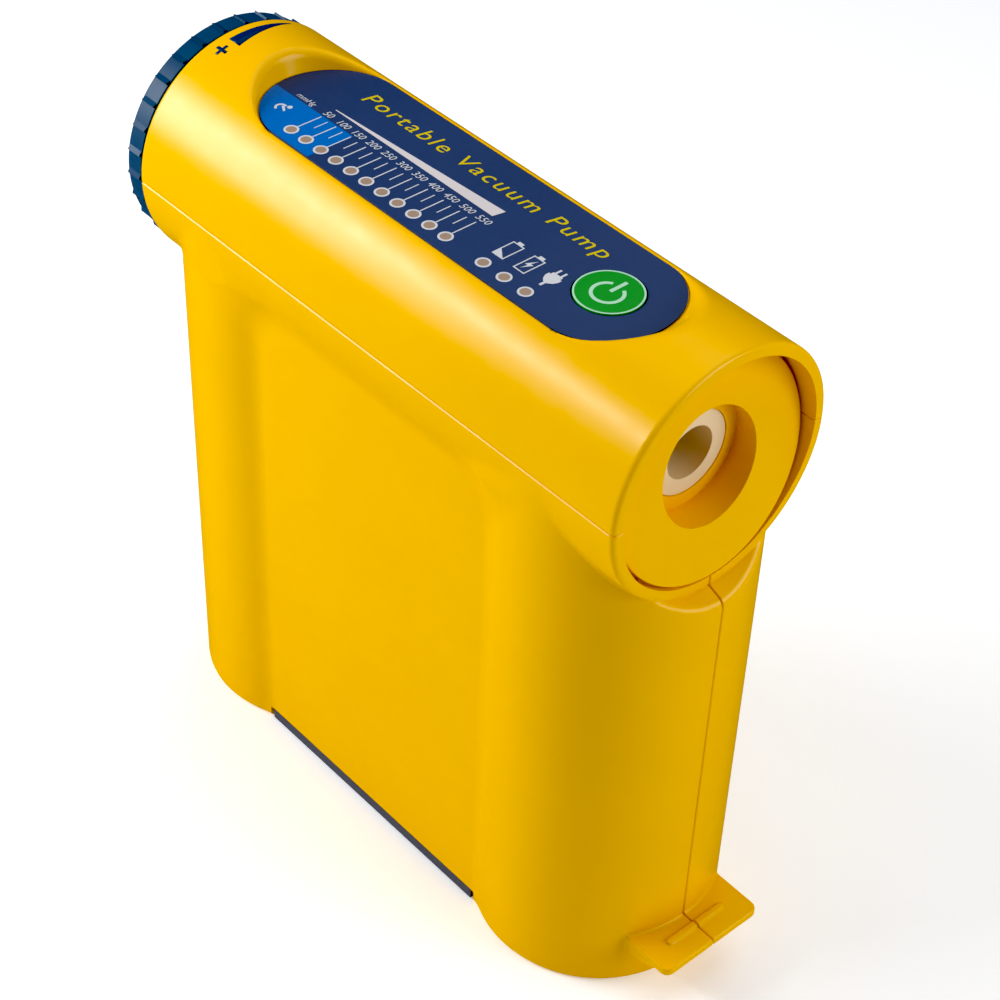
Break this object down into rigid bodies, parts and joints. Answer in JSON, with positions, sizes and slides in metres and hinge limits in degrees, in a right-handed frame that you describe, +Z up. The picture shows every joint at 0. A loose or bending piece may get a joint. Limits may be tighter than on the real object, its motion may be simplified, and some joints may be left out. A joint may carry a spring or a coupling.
{
  "type": "suction pump",
  "caption": "Portable suction pump: barrel with control panel and inlet port on a slab body with two round columns, regulator knob, battery door, diaphragm pump inside.",
  "frame": {"origin": "centre of the bounding box on the base that the pump stands on", "axes": "+X along the barrel towards the inlet port, +Y to the side with the screws and vent, +Z up"},
  "size_m": [0.2448, 0.0814, 0.2432],
  "materials": {
    "yellow_shell": "satin, fine moulded grain",
    "navy_knob": "satin",
    "navy_label": "printed overlay, low gloss",
    "green_button": "printed overlay, low gloss",
    "tan_lens": "unlit lens",
    "cream_seal": "matt",
    "slate_door": "satin",
    "white_plastic": "satin",
    "black_plastic": "satin",
    "black_rubber": "matt",
    "clear_hose": "milky silicone",
    "zinc_screw": "zinc plated",
    "zinc_plate": "zinc plated",
    "spring_steel": "ground",
    "rotor_iron": "laminated",
    "brass": "turned",
    "cast_alloy": "die cast",
    "green_board": "solder resist",
    "battery_can": "nickel plated",
    "battery_sleeve": "shrink film",
    "red_wire": "insulated wire"
  },
  "bodies": {
    "case": {"back_bulkhead": "black_plastic", "battery_cells": "battery_can", "battery_contacts": "spring_steel", "battery_links": "spring_steel", "battery_wrap": "battery_sleeve", "board_parts": "black_plastic", "board_screws": "zinc_screw", "button_dome": "black_rubber", "chassis": "black_plastic", "control_board": "green_board", "crankcase_cover": "black_plastic", "dc_inlet": "black_plastic", "diaphragm": "black_rubber", "exhaust_hose": "clear_hose", "exhaust_muffler": "black_plastic", "front_port_plate": "yellow_shell", "gauge_lenses": "tan_lens", "head_cover": "black_plastic", "head_screws": "zinc_screw", "housing_screws": "zinc_screw", "inlet_hose": "clear_hose", "inlet_manifold": "white_plastic", "inlet_seal": "cream_seal", "keypad_label": "navy_label", "leds": "white_plastic", "left_housing": "yellow_shell", "motor_bearings": "brass", "motor_can": "zinc_plate", "motor_end_bell": "black_plastic", "motor_magnets": "black_plastic", "pump_bracket": "zinc_plate", "pump_frame": "cast_alloy", "pump_head": "black_plastic", "pump_mounts": "black_rubber", "regulator_body": "white_plastic", "regulator_spring": "spring_steel", "right_housing": "yellow_shell", "sensor_tee": "white_plastic", "status_lenses": "tan_lens", "top_cover": "yellow_shell", "vacuum_hoses": "clear_hose", "vacuum_sensor": "black_plastic", "valve_flaps": "black_rubber", "wire_leads": "red_wire"},
    "knob": {"regulator_knob": "navy_knob", "knob_cap": "navy_knob", "knob_screw": "zinc_screw", "regulator_spindle": "brass"},
    "seat": {"spring_seat": "brass"},
    "poppet": {"relief_poppet": "black_rubber"},
    "button": {"power_button": "green_button"},
    "door": {"battery_door": "slate_door"},
    "rotor": {"motor_shaft": "spring_steel", "motor_rotor": "rotor_iron", "eccentric": "zinc_plate", "rod_bearing": "spring_steel"},
    "rod": {"connecting_rod": "cast_alloy", "clamp_plate": "zinc_plate", "clamp_screw": "zinc_screw"}
  },
  "joints": [
    {"name": "knob_turn", "type": "hinge", "parent": "case", "child": "knob", "pos_m": [-0.118, 0, 0.2025], "axis": [1, 0, 0], "range_deg": [0, 270]},
    {"name": "seat_slide", "type": "slide", "parent": "case", "child": "seat", "axis": [1, 0, 0], "range_m": [0, 0.0046], "deforming": ["regulator_spring"]},
    {"name": "poppet_lift", "type": "slide", "parent": "case", "child": "poppet", "axis": [-1, 0, 0], "range_m": [0, 0.0006], "stiffness_N_per_m": 300, "springref_m": -0.002},
    {"name": "button_press", "type": "slide", "parent": "case", "child": "button", "axis": [0, 0, -1], "range_m": [0, 0.0008], "stiffness_N_per_m": 1500, "springref_m": -0.0005, "deforming": ["button_dome"]},
    {"name": "door_slide", "type": "slide", "parent": "case", "child": "door", "axis": [0, 1, 0], "range_m": [0, 0.062]},
    {"name": "motor_spin", "type": "hinge", "parent": "case", "child": "rotor", "pos_m": [-0.04, 0, 0.096], "axis": [1, 0, 0], "continuous": true},
    {"name": "rod_pivot", "type": "hinge", "parent": "rotor", "child": "rod", "pos_m": [0.022, 0, 0.0976], "axis": [1, 0, 0], "continuous": true, "deforming": ["diaphragm"]}
  ],
  "couplings": [
    {"joint": "seat_slide", "follows": "knob_turn", "m_per_rad": 0.00095493},
    {"joint": "rod_pivot", "follows": "motor_spin", "ratio": -1}
  ]
}
